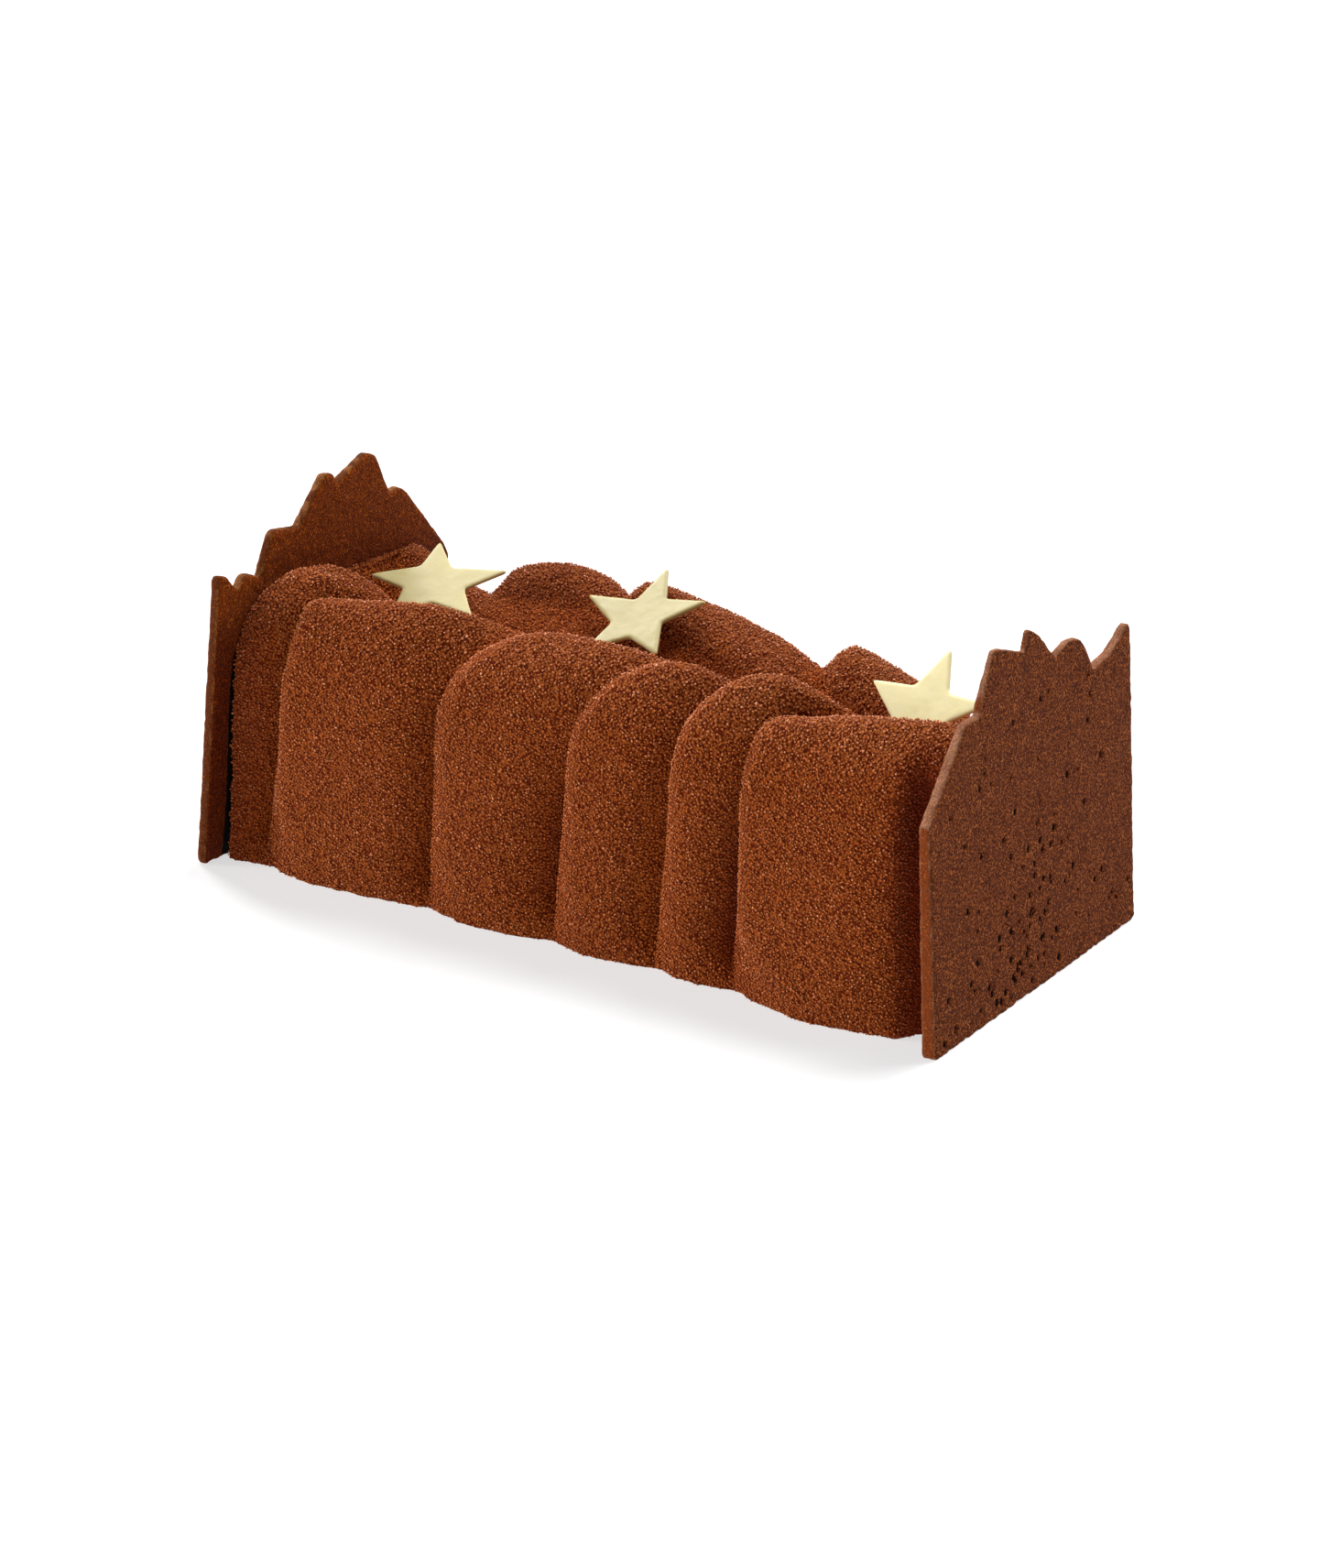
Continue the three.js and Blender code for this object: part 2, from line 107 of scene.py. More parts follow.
def grain_noise(at: Array, size: float, seed: int) -> Array:
    """Returns smooth noise from -1 to 1 at points in millimetres.

    Args:
        at: Points, one to a row.
        size: Distance between the noise's lattice points.
        seed: Which lattice is drawn.

    Returns:
        One value for each point.
    """
    period = 64
    lattice = np.random.default_rng(seed).uniform(-1, 1, (period,) * 3)
    q = at / size + 17.0
    cell = np.floor(q).astype(int)
    w = smooth(q - cell)
    total = np.zeros(len(at))
    for corner in range(8):
        step = np.array([corner & 1, corner >> 1 & 1, corner >> 2 & 1])
        share = np.prod(np.where(step, w, 1 - w), axis=1)
        i = (cell + step) % period
        total += share * lattice[i[:, 0], i[:, 1], i[:, 2]]
    return total


def rough(at: Array, *layers: Triple) -> Array:
    """Returns layers of noise added up, each given by its depth, size and seed."""
    return sum(depth * grain_noise(at, size, seed) for depth, size, seed in layers)


# ---------------------------------------------------------------- meshes


def mesh_object(name: str, points: Array, faces: Array) -> Object:
    """Makes a smooth-shaded object from points and faces, at the origin.

    Args:
        name: The piece's name.
        points: Vertices in millimetres, one to a row.
        faces: Vertex numbers, one face to a row, anticlockwise from outside.

    Returns:
        The new object, linked to the scene.
    """
    mesh = bpy.data.meshes.new(name)
    sides = faces.shape[1]
    mesh.vertices.add(len(points))
    mesh.vertices.foreach_set("co", (points * MM).astype(np.float32).ravel())
    mesh.loops.add(faces.size)
    mesh.loops.foreach_set("vertex_index", faces.astype(np.int32).ravel())
    mesh.polygons.add(len(faces))
    mesh.polygons.foreach_set("loop_start", np.arange(0, faces.size, sides, dtype=np.int32))
    mesh.polygons.foreach_set("use_smooth", np.ones(len(faces), bool))
    mesh.update(calc_edges=True)
    mesh.validate()
    piece = bpy.data.objects.new(name, mesh)
    bpy.context.scene.collection.objects.link(piece)
    return piece


def read_points(mesh: Mesh) -> Array:
    """Reads a mesh's vertices.

    Args:
        mesh: The mesh.

    Returns:
        The vertices in millimetres, one to a row.
    """
    flat = np.zeros(len(mesh.vertices) * 3, np.float32)
    mesh.vertices.foreach_get("co", flat)
    return flat.reshape(-1, 3).astype(float) / MM


def read_normals(mesh: Mesh) -> Array:
    """Reads a mesh's vertex normals.

    Args:
        mesh: The mesh.

    Returns:
        The normals, one to a row.
    """
    flat = np.zeros(len(mesh.vertices) * 3, np.float32)
    mesh.vertex_normals.foreach_get("vector", flat)
    return flat.reshape(-1, 3).astype(float)


def write_points(mesh: Mesh, points: Array) -> None:
    """Puts points in millimetres back into a mesh."""
    mesh.vertices.foreach_set("co", (points * MM).astype(np.float32).ravel())
    mesh.update()


def write_attribute(mesh: Mesh, name: str, values: Array) -> None:
    """Keeps one number for each vertex under a name that a material can read."""
    layer = mesh.attributes.new(name, "FLOAT", "POINT")
    layer.data.foreach_set("value", values.astype(np.float32))


def baked(piece: Object) -> Object:
    """Turns an object's modifiers into its plain mesh.

    Args:
        piece: The object, whose modifiers are removed.

    Returns:
        The same object.
    """
    shown = piece.evaluated_get(bpy.context.evaluated_depsgraph_get())
    made = bpy.data.meshes.new_from_object(shown)
    piece.modifiers.clear()
    piece.data = made
    made.name = piece.name
    return piece


def remeshed_copy(node: str, name: str, voxel: float) -> Object:
    """Makes an even, fine mesh of a solid, on which crumb and pores can be cut.

    Args:
        node: The solid's name.
        name: The new piece's name.
        voxel: Size of the mesh's faces.

    Returns:
        The new object.
    """
    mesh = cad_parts[node].data.copy()
    work = bmesh.new()
    work.from_mesh(mesh)
    bmesh.ops.remove_doubles(work, verts=work.verts, dist=1e-6)
    work.to_mesh(mesh)
    work.free()
    mesh.materials.clear()
    piece = bpy.data.objects.new(name, mesh)
    bpy.context.scene.collection.objects.link(piece)
    remesh = piece.modifiers.new("remesh", "REMESH")
    remesh.mode = "VOXEL"
    remesh.voxel_size = voxel * MM
    remesh.use_smooth_shade = True
    return baked(piece)


def triangles(piece: Object) -> int:
    """Returns how many triangles a piece's mesh has."""
    return sum(len(face.vertices) - 2 for face in piece.data.polygons)


def hand_over(piece: Object, slot: Slot, *nodes: str) -> None:
    """Hangs a finished piece on the cake's body in place of the solids that it stands for.

    Args:
        piece: The piece, in its place.
        slot: The finish that it takes; not used.
        nodes: The solids that it stands for, if any.
    """
    if nodes:
        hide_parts(*nodes)
    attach(piece, BODY)
    LOG.info("%s: %d triangles", piece.name, triangles(piece))


# ---------------------------------------------------------------- finishes

# Multiplies the velvet's colour where a pinkish highlight is painted on the waves' rims.
RIM_HIGHLIGHT = (1.1, 1.35, 2.0)
# Painted warm bounce light in the hollows fades in over this relief.
GLOW_RELIEF = (2.5, -1.0)  # relief at which the velvet is least and most warm


def add_node(
    tree: NodeTree, kind: str, inputs: dict[str | int, object] | None = None, **settings
) -> Node:
    """Adds a node to a tree.

    Args:
        tree: The tree.
        kind: The node's type.
        inputs: What fills its sockets, by their names or places: other sockets or plain values.
        settings: The node's own settings, made before its sockets are filled.

    Returns:
        The new node.
    """
    node = tree.nodes.new(kind)
    for name, value in settings.items():
        setattr(node, name, value)
    for key, value in (inputs or {}).items():
        if isinstance(value, Socket):
            tree.links.new(value, node.inputs[key])
        else:
            node.inputs[key].default_value = value
    return node


class Nodes:
    """A short hand for building one material's node tree."""

    def __init__(self, name: str) -> None:
        """Starts an empty material that ends in a Principled surface."""
        self.material = bpy.data.materials.new(name)
        self.material.use_nodes = True
        self.tree = self.material.node_tree
        self.tree.nodes.clear()
        self.surface = add_node(self.tree, "ShaderNodeBsdfPrincipled")
        add_node(self.tree, "ShaderNodeOutputMaterial", {"Surface": self.surface.outputs[0]})
        self.place = add_node(self.tree, "ShaderNodeTexCoord").outputs["Object"]

    def noise(self, size: float, detail: float, roughness: float = 0.55) -> Socket:
        """Adds noise of one size.

        Args:
            size: Width of its largest blotches in millimetres.
            detail: How many finer layers it has.
            roughness: How strong the finer layers are.

        Returns:
            The noise, from 0 to 1.
        """
        inputs = {"Vector": self.place, "Scale": 1 / (size * MM), "Detail": detail}
        inputs["Roughness"] = roughness
        return add_node(self.tree, "ShaderNodeTexNoise", inputs).outputs["Fac"]

    def cells(self, size: float, smoothness: float) -> Socket:
        """Adds rounded cells.

        Args:
            size: Width of a cell in millimetres.
            smoothness: How softly neighbouring cells meet.

        Returns:
            The distance from the middle of the nearest cell.
        """
        inputs = {"Vector": self.place, "Scale": 1 / (size * MM), "Smoothness": smoothness}
        node = add_node(self.tree, "ShaderNodeTexVoronoi", inputs, feature="SMOOTH_F1")
        return node.outputs["Distance"]

    def attribute(self, name: str) -> Socket:
        """Returns a number that the mesh keeps at its vertices."""
        return add_node(self.tree, "ShaderNodeAttribute", attribute_name=name).outputs["Fac"]

    def spread(self, value: Socket, low: float, high: float) -> Socket:
        """Stretches a value smoothly.

        Args:
            value: The value.
            low: What becomes 0, and is held there.
            high: What becomes 1, and is held there.

        Returns:
            The stretched value.
        """
        inputs = {"Value": value, "From Min": low, "From Max": high}
        node = add_node(self.tree, "ShaderNodeMapRange", inputs, interpolation_type="SMOOTHSTEP")
        return node.outputs["Result"]

    def maths(self, kind: str, *values: Socket | float) -> Socket:
        """Returns what one operation, given by its name, makes of its values."""
        inputs = dict(enumerate(values))
        return add_node(self.tree, "ShaderNodeMath", inputs, operation=kind).outputs[0]

    def mix(
        self, share: Socket | float, a: Socket | Triple, b: Socket | Triple, kind: str = "MIX"
    ) -> Socket:
        """Mixes two colours.

        Args:
            share: How much of the second colour shows.
            a: The first colour.
            b: The second colour.
            kind: How the second colour is laid on the first.

        Returns:
            The mixed colour.
        """
        first, second = ((*c, 1.0) if isinstance(c, tuple) else c for c in (a, b))
        inputs = {0: share, 6: first, 7: second}
        node = add_node(self.tree, "ShaderNodeMix", inputs, data_type="RGBA", blend_type=kind)
        return node.outputs[2]

    def bump(self, height: Socket, depth: float) -> Socket:
        """Returns a normal bent by a height from 0 to 1, which stands up depth millimetres."""
        inputs = {"Distance": depth * MM, "Height": height}
        return add_node(self.tree, "ShaderNodeBump", inputs).outputs[0]

    def surfaced(
        self, colour: Socket, normal: Socket | None, **plain: float | tuple[float, ...]
    ) -> Material:
        """Finishes the surface.

        Args:
            colour: Its colour.
            normal: Its normal, where that is bent.
            plain: Its plain values, by the sockets' names with _ for a space.

        Returns:
            The material.
        """
        self.tree.links.new(colour, self.surface.inputs["Base Color"])
        if normal is not None:
            self.tree.links.new(normal, self.surface.inputs["Normal"])
        for name, value in plain.items():
            self.surface.inputs[name.replace("_", " ")].default_value = value
        return self.material


def with_painted_light(n: Nodes, shade: Socket, crease: Triple, rim: Triple) -> Socket:
    """Lays painted shade in the creases and beside the plates, and a painted rim highlight, over a
    shade of velvet.

    Args:
        n: The material's nodes.
        shade: The shade.
        crease: The colour of the painted shade in the creases and beside the plates.
        rim: What multiplies the shade where a highlight is painted on the waves' rims.

    Returns:
        The shade as it looks at each place.
    """
    shade = n.mix(n.attribute("crease"), shade, crease)
    return n.mix(n.attribute("rim"), shade, rim, "MULTIPLY")


@dataclass(frozen=True)
class VelvetFinish:
    """Chocolate velvet, sprayed on cold cream: warm and matt, with painted shade between its
    granules.
    """

    name: str
    # Painted shade in the low places between the granules.
    gap: Triple = (0.12, 0.0125, 0.0012)
    body: Triple = (0.385, 0.086, 0.0125)
    # Warmer colour in random patches where the relief is low, painted as warm bounce light in the
    # hollows.
    warm: Triple = (0.50, 0.116, 0.014)
    # Painted shade in the creases and beside the plates.
    crease: Triple = (0.19, 0.013, 0.002)
    # Multiplies the colour where a pinkish highlight is painted on the rims.
    rim: Triple = RIM_HIGHLIGHT
    granule: float = 0.9
    speck: float = 0.7
    patch: float = 12.0
    lift: float = 1.0

    def material(self) -> Material:
        """Returns the sprayed velvet as a material."""
        n = Nodes(self.name)
        cells = n.spread(n.cells(self.granule, 0.15), 0.6, 0.1)
        speck = n.spread(n.noise(self.speck, 3.0, 0.6), 0.3, 0.7)
        height = n.maths("MULTIPLY_ADD", cells, 0.5, n.maths("MULTIPLY", speck, 0.5))
        # Painted warm bounce light where the relief is low, in random patches.
        low_relief_glow = n.spread(n.attribute("relief"), *GLOW_RELIEF)
        patch = n.maths("MULTIPLY", low_relief_glow, n.spread(n.noise(self.patch, 2.0), 0.3, 0.6))
        shade = with_painted_light(n, n.mix(patch, self.body, self.warm), self.crease, self.rim)
        # The painted shade between the granules goes over all the other colours.
        return n.surfaced(
            n.mix(n.spread(height, 0.5, 0.2), shade, self.gap),
            n.bump(height, self.lift),
            Roughness=0.9,
            Specular_IOR_Level=0.06,
            Sheen_Weight=0.1,
            Sheen_Roughness=0.17,
            Sheen_Tint=(1.0, 0.5, 0.3, 1.0),
        )


@dataclass(frozen=True)
class GranuleFinish:
    """The single granules that stand on the velvet, a little paler where spray dusts them."""

    name: str
    low: Triple = (0.41, 0.093, 0.0135)
    high: Triple = (0.82, 0.34, 0.15)
    # Painted warm bounce light in the hollows, as on the velvet.
    warm: Triple = (0.52, 0.123, 0.0155)
    # Painted shade in the creases and beside the plates, as on the velvet.
    crease: Triple = (0.22, 0.017, 0.0028)
    # Multiplies the colour where a pinkish highlight is painted on the rims, as on the velvet.
    rim: Triple = RIM_HIGHLIGHT
    dusting: float = 0.8
    grit: float = 0.3
    lift: float = 0.06

    def material(self) -> Material:
        """Returns the granules' material."""
        n = Nodes(self.name)
        shade = n.mix(n.spread(n.noise(self.dusting, 2.0), 0.5, 0.76), self.low, self.high)
        # Painted warm bounce light where the relief is low.
        low_relief_glow = n.spread(n.attribute("relief"), *GLOW_RELIEF)
        return n.surfaced(
            with_painted_light(n, n.mix(low_relief_glow, shade, self.warm), self.crease, self.rim),
            n.bump(n.noise(self.grit, 2.0), self.lift),
            Roughness=0.5,
            Specular_IOR_Level=0.2,
            Sheen_Weight=0.28,
            Sheen_Roughness=0.17,
            Sheen_Tint=(1.0, 0.65, 0.48, 1.0),
        )


@dataclass(frozen=True)
class CocoaFinish:
    """A thin cocoa biscuit plate: dry, dark and porous, paler where it was cut.

    deep, body and dusty are its crumb from low to high; deep is partly the crumb's own dark tone
    and partly painted shade in its pores and low places. cut and worn are its broken edge, front
    its straight front edge, and the pit colour the near-black painted shade in its pits and in the
    joint behind the log. inner multiplies the colour of the whole inner face, and the low shade
    multiplies it as painted shade low down. speckle is how much of the crumb's contrast shows.
    """

    name: str
    # The darkest crumb: partly its own tone, partly painted shade in the pores and low places.
    deep: Triple = (0.048, 0.009, 0.0015)
    body: Triple = (0.25, 0.048, 0.0064)
    dusty: Triple = (0.62, 0.185, 0.042)
    cut: Triple = (0.50, 0.22, 0.12)
    worn: Triple = (0.37, 0.145, 0.072)
    front: Triple = (0.30, 0.06, 0.010)
    # Near-black painted shade in the pits and in the joint behind the log.
    hole: Triple = (0.008, 0.003, 0.002)
    inner: Triple = (1.0, 1.0, 1.0)
    # Multiplies the inner face's colour low down, as painted shade.
    damp: Triple = (0.5, 0.34, 0.26)
    grain: float = 0.5
    pore: float = 0.8
    patch: float = 7.0
    chip: float = 5.0
    patchy: float = 0.2
    speckle: float = 0.85
    edge_calm: float = 0.75
    lift: float = 0.95

    def material(self) -> Material:
        """Returns the biscuit as a material."""
        n = Nodes(self.name)
        crumb = n.spread(n.noise(self.grain, 2.0, 0.7), 0.32, 0.68)
        pores = n.spread(n.cells(self.pore, 0.1), 0.7, 0.1)
        height = n.maths("MULTIPLY_ADD", crumb, 0.75, n.maths("MULTIPLY", pores, 0.25))
        patch = n.maths("SUBTRACT", n.noise(self.patch, 3.0), 0.5)
        tone = n.maths("ADD", height, n.maths("MULTIPLY", patch, self.patchy))
        edge = n.attribute("edge")
        broken = n.mix(n.spread(n.noise(self.chip, 2.0), 0.4, 0.62), self.worn, self.cut)
        shade = n.mix(edge, self.body, n.mix(n.attribute("front"), broken, self.front))
        strong = n.maths("MULTIPLY_ADD", edge, -self.edge_calm * self.speckle, self.speckle)
        # Darker where the crumb is low and in the pores: partly the crumb's own tone, partly
        # painted shade.
        shade = n.mix(n.maths("MULTIPLY", n.spread(tone, 0.54, 0.24), strong), shade, self.deep)
        shade = n.mix(n.maths("MULTIPLY", n.spread(tone, 0.56, 0.92), strong), shade, self.dusty)
        shade = n.mix(n.attribute("inner"), shade, self.inner, "MULTIPLY")
        # Painted shade low on the inner face.
        shade = n.mix(n.attribute("damp"), shade, self.damp, "MULTIPLY")
        return n.surfaced(
            # Near-black painted shade in the pits and in the joint behind the log.
            n.mix(n.spread(n.attribute("pit"), 0.2, 0.6), shade, self.hole),
            n.bump(height, self.lift),
            Roughness=0.9,
            Specular_IOR_Level=0.1,
        )


@dataclass(frozen=True)
class FondantFinish:
    """Pale yellow fondant, smooth and faintly translucent."""

    name: str
    body: Triple
    shade: Triple
    blotch: float = 6.0
    dimple: float = 1.6
    lift: float = 0.06

    def material(self) -> Material:
        """Returns the fondant as a material."""
        n = Nodes(self.name)
        return n.surfaced(
            n.mix(n.spread(n.noise(self.blotch, 3.0), 0.35, 0.7), self.body, self.shade),
            n.bump(n.noise(self.dimple, 3.0), self.lift),
            Roughness=0.5,
            Specular_IOR_Level=0.4,
            Subsurface_Weight=0.4,
            Subsurface_Radius=(1.0, 0.7, 0.3),
            Subsurface_Scale=2 * MM,
        )


# ---------------------------------------------------------------- the log


@dataclass(frozen=True)
class Lobe:
    """One wave of cream on a long side of the log.

    start is where its left crease meets the base, drift how far the crease runs to the right for
    each millimetre up the side, rim the length of its rounded top edge up the side and rim_slope
    how that changes along it, corner the radius at its upper left, foot and crown its thickness
    low and high, flank how soon it swells, width and reach how long it is low and high. plunge is
    how far its right end dives into the next crease, bend how late it dives, and hold how far up
    the side that lasts.
    """

    start: float
    width: float
    drift: float
    rim: float
    rim_slope: float
    corner: float
    foot: float
    crown: float
    flank: float
    reach: float
    plunge: float
    bend: float
    hold: float


@dataclass(frozen=True)
class Hollow:
    """A soft dent in the cream: its side, middle, half sizes, turn in degrees and depth."""

    side: Side
    x: float
    s: float
    length: float
    width: float
    turn: float
    depth: float


@dataclass
class CakeLog:
    """The cream log with its row of waves, between the plates, and the velvet on it.

    A place on its side is given by x, along the log from the cake's left end, and s, up the side
    from the base. Its plain section is an arch, on which the waves stand. Where the left end
    stands nearer to its plate, left_gap is by how much at the base, and gap_height where that ends.

    The values from crease to deep_foot shape the creases, join rounds them, and those from fall to
    past_reach shape the waves. The strip is the plain stretch beside the right plate. The groove
    runs along the top, and the two rises stretch the front and the back to their heights. The
    values after rise_blend, up to foot_ragged, say where shade is painted on the velvet, darker in
    the creases and beside the plates, and where a paler highlight is painted on the rims.
    foot_ragged to torn_stations roughen the foot and the left end.
    """

    length: float = 233.0
    half_section: float = 45.0
    height: float = 77.5
    left_end: float = 5.9
    left_lean: float = 0.05
    left_gap: float = -0.9
    gap_height: float = 60.0
    right_end: float = 228.3
    right_lean: float = 0.0536
    stations: int = 330
    ring: int = 148

    crease: float = 2.0
    crease_cut: float = 8.0
    crease_slope: float = 1.6
    top_slope: float = 0.5
    deepest: float = 9.0
    deep_hold: float = 62.0
    hold_fade: float = 20.0
    deep_foot: Zone = (0.0, 14.0)
    join: float = 2.0
    fall: float = 1.8
    low_flank: float = 0.42
    swelling: Zone = (0.0, 78.0)
    flank_zone: Zone = (0.0, 24.0)
    reach_zone: Zone = (30.0, 55.0)
    past_reach: float = 1.15
    plate_strip: float = 11.0
    strip_edge: float = 5.0
    strip_top: Zone = (55.0, 20.0)
    crown_blend: float = 16.0
    groove_width: float = 18.0
    groove_zone: Zone = (20.0, 30.0)
    rise_blend: float = 50.0
    # Where shade is painted in the creases and beside the plates, and a highlight on the rims.
    crease_shade_relief: Zone = (-4.0, 10.0)
    crease_shade_top: Zone = (52.0, 22.0)
    crease_shade_share: Curve = ((0, 0.5), (118, 0.55), (146, 0.2), (160, 1))
    plate_shade_share: float = 0.38
    plate_shade_left: Zone = (13.0, 14.0)
    plate_shade_right: Zone = (-15.0, 10.0)
    plate_shade_top: Zone = (60.0, 20.0)
    highlight_foot: Zone = (60.0, 18.0)
    rim_relief: Zone = (-1.0, 4.0)
    highlight_share: Curve = ((0, 0.35), (120, 0.6), (210, 1))
    foot_ragged: Zone = (0.0, 3.5)
    calm_stations: float = 3.0
    torn: float = 0.35
    torn_most: float = 0.9
    torn_stations: float = 4.0

    front: tuple[Lobe, ...] = (
        Lobe(-8, 27, 0.14, 93, 0.08, 37, 3, 8.9, 9, 41, 14, 3, 58),
        Lobe(16, 56, 0.14, 73.8, 0.23, 7, 4.8, 8.9, 7, 57, 14, 6, 46),
        Lobe(71, 42, 0.045, 83.6, 0.1, 32, 4.5, 6.5, 8, 73, 14, 4, 66),
        Lobe(111, 34, 0.085, 87.1, -0.02, 33, 4, 7.5, 7, 45, 12, 3, 68),
        Lobe(143, 27, 0.08, 85.8, 0.1, 25, 3, 9, 7, 42, 26, 3, 70),
        Lobe(167, 62, 0.025, 74.7, 0.18, 9, 8, 7.9, 7, 83, 12, 4, 62),
    )
    back: tuple[Lobe, ...] = (
        Lobe(-12, 56, 0, 71.1, 0.44, 14, 4, 4.7, 9, 62, 10, 4, 55),
        Lobe(40, 49, -0.01, 82.7, 0.15, 9, 5, 10.4, 8, 52, 9, 3, 60),
        Lobe(87, 64, -0.006, 86.9, 0.26, 6, 5, 8, 8, 63, 10, 4, 58),
        Lobe(148, 40, 0.018, 86.6, 0.28, 11, 4, 10.9, 8, 52, 9, 3, 60),
        Lobe(188, 56, 0.05, 84, 0.2, 24, 6, 6, 8, 70, 8, 4, 58),
    )
    front_rise: Curve = (
        (0, -0.094), (20, 0.041), (40, 0.018), (75, 0.01), (175, 0.001), (233, 0.024),
    )
    back_rise: Curve = (
        (0, -0.03), (10, -0.056), (36, -0.199), (46, -0.142), (70, -0.071), (91, -0.067),
        (120, -0.119), (152, -0.159), (180, -0.269), (200, -0.25), (233, -0.25),
    )
    groove: Curve = ((0, 19), (45, 19), (80, 14), (130, 14), (175, 21), (233, 21))
    crease_bow: Curve = ((0, 0.8), (20, 1), (35, 1.2), (50, -0.6), (62, -2), (75, -1), (90, 0))
    hollows: tuple[Hollow, ...] = (
        Hollow(Side.FRONT, 9, 38, 10, 26, 0, 2.5),
        Hollow(Side.FRONT, 26, 82, 6, 1.6, 8, 0.9),
        Hollow(Side.FRONT, 31, 76, 9, 1.8, 12, 0.9),
        Hollow(Side.FRONT, 178, 76, 6, 1.8, -8, 1.1),
        Hollow(Side.FRONT, 145.5, 73, 4, 1.5, 20, 0.7),
    )

    def __post_init__(self) -> None:
        """Works out the plain section that the waves stand on, by the length along it."""
        steps = 1201
        turn = np.pi / 2 * smooth(np.linspace(0, 1, steps))
        self.y_table = -self.half_section * np.abs(np.cos(turn)) ** 0.5
        self.y_table[-1] = 0.0
        self.z_table = self.height * np.sin(turn) ** 0.5
        lengths = np.hypot(np.diff(self.y_table), np.diff(self.z_table))
        self.s_table = np.concatenate([[0.0], np.cumsum(lengths)])
        self.crown = float(self.s_table[-1])

    def section(self, s: Array) -> tuple[Array, Array]:
        """Returns the plain section's Y and Z at a length s from the base."""
        s = np.clip(s, 0, self.crown)
        return np.interp(s, self.s_table, self.y_table), np.interp(s, self.s_table, self.z_table)

    def outward(self, s: Array) -> tuple[Array, Array]:
        """Works out which way is outward on the plain section.

        Args:
            s: Lengths from the base.

        Returns:
            The outward direction's Y and Z.
        """
        step = 0.6
        y0, z0 = self.section(s - step)
        y1, z1 = self.section(s + step)
        n = np.hypot(y1 - y0, z1 - z0)
        return -(z1 - z0) / n, (y1 - y0) / n

    def wave(self, lobe: Lobe, x: Array, s: Array) -> Array:
        """Works out how far one wave stands out.

        Args:
            lobe: The wave.
            x: Places along the log.
            s: Places up its side.

        Returns:
            Heights, below zero in its crease.
        """
        left = lobe.start + lobe.drift * s + knots(self.crease_bow, s)
        rim = lobe.rim + lobe.rim_slope * (x - lobe.start)
        qx = left + lobe.corner - x
        qs = s - (rim - lobe.corner)
        px, ps = np.maximum(qx, 0), np.maximum(qs, 0)
        inside = lobe.corner - np.hypot(px, ps) - np.minimum(np.maximum(qx, qs), 0)
        top = ps**2 / (px**2 + ps**2 + 1e-6)
        slope = self.crease_slope + (self.top_slope - self.crease_slope) * top
        outside = np.maximum(inside * slope, -self.crease - self.crease_cut * (1 - top))
        swell = lobe.foot + (lobe.crown - lobe.foot) * ramp(s, self.swelling)
        low_flank = self.low_flank * lobe.width
        flank = low_flank + (lobe.flank - low_flank) * ramp(s, self.flank_zone)
        reach = lobe.width + (lobe.reach - lobe.width) * ramp(s, self.reach_zone)
        rise = np.sin(np.pi / 2 * np.clip(inside / flank, 0, 1))
        run = np.clip((x - left) / reach, 0, self.past_reach)
        lasts = self.crease_share(s, lobe.hold)
        fall = self.fall + (lobe.bend - self.fall) * lasts
        dive = lobe.plunge * lasts * run ** (lobe.bend + 1)
        return np.where(inside <= 0, outside, swell * rise * np.cos(np.pi / 2 * run**fall) - dive)

    def crease_share(self, s: Array, hold: float) -> Array:
        """Returns the share of a crease's full depth at each place: none at base and rims."""
        return ramp(s, self.deep_foot) * fade(s, (hold, self.hold_fade))

    def relief(self, side: Side, x: Array, s: Array, z: Array) -> Array:
        """Works out the whole row of waves on one side.

        Args:
            side: The side.
            x: Places along the log.
            s: Places up its side.
            z: Heights of these places on the plain section.

        Returns:
            How far the waves stand out from the plain section.
        """
        h = -self.crease - self.deepest * self.crease_share(s, self.deep_hold)
        for lobe in self.front if side is Side.FRONT else self.back:
            h = smooth_max(self.wave(lobe, x, s), h, self.join)
        end = self.right_end - self.right_lean * z
        strip = ramp(x, (end - self.plate_strip, self.strip_edge)) * fade(s, self.strip_top)
        h = h + (-self.crease - h) * strip
        return h * smooth((self.crown - s) / self.crown_blend)

    def dents(self, side: Side, x: Array, s: Array) -> Array:
        """Works out the soft hollows on one side.

        Args:
            side: The side.
            x: Places along the log.
            s: Places up its side.

        Returns:
            How deep the hollows are at each place.
        """
        deep = np.zeros(x.shape)
        for dent in self.hollows:
            if dent.side is not side:
                continue
            a = math.radians(dent.turn)
            u = (x - dent.x) * math.cos(a) + (s - dent.s) * math.sin(a)
            v = -(x - dent.x) * math.sin(a) + (s - dent.s) * math.cos(a)
            deep += dent.depth * np.exp(-((u / dent.length) ** 2) - (v / dent.width) ** 2)
        return deep

    def painted_shade_and_highlight(self, x: Array, s: Array, h: Array, end: Array) -> tuple[Array, Array]:
        """Works out where shade and a highlight are painted on the velvet.

        Args:
            x: Places along the log.
            s: Places up its side.
            h: The relief there.
            end: Where the log ends on the right at each place's height.

        Returns:
            The share of the painted shade, in the creases and beside the plates, and of the painted
            highlight on the rims.
        """
        # Painted shade in the creases, below the shoulder, by a share that changes along the log.
        low = ramp(-h, self.crease_shade_relief) * fade(s, self.crease_shade_top)
        low = low * np.interp(x, *zip(*self.crease_shade_share))
        # Painted shadow of the plates, beside both ends of the log.
        left = self.plate_shade_share * fade(x, self.plate_shade_left)
        plate_shade = np.maximum(left, ramp(x - end, self.plate_shade_right)) * fade(s, self.plate_shade_top)
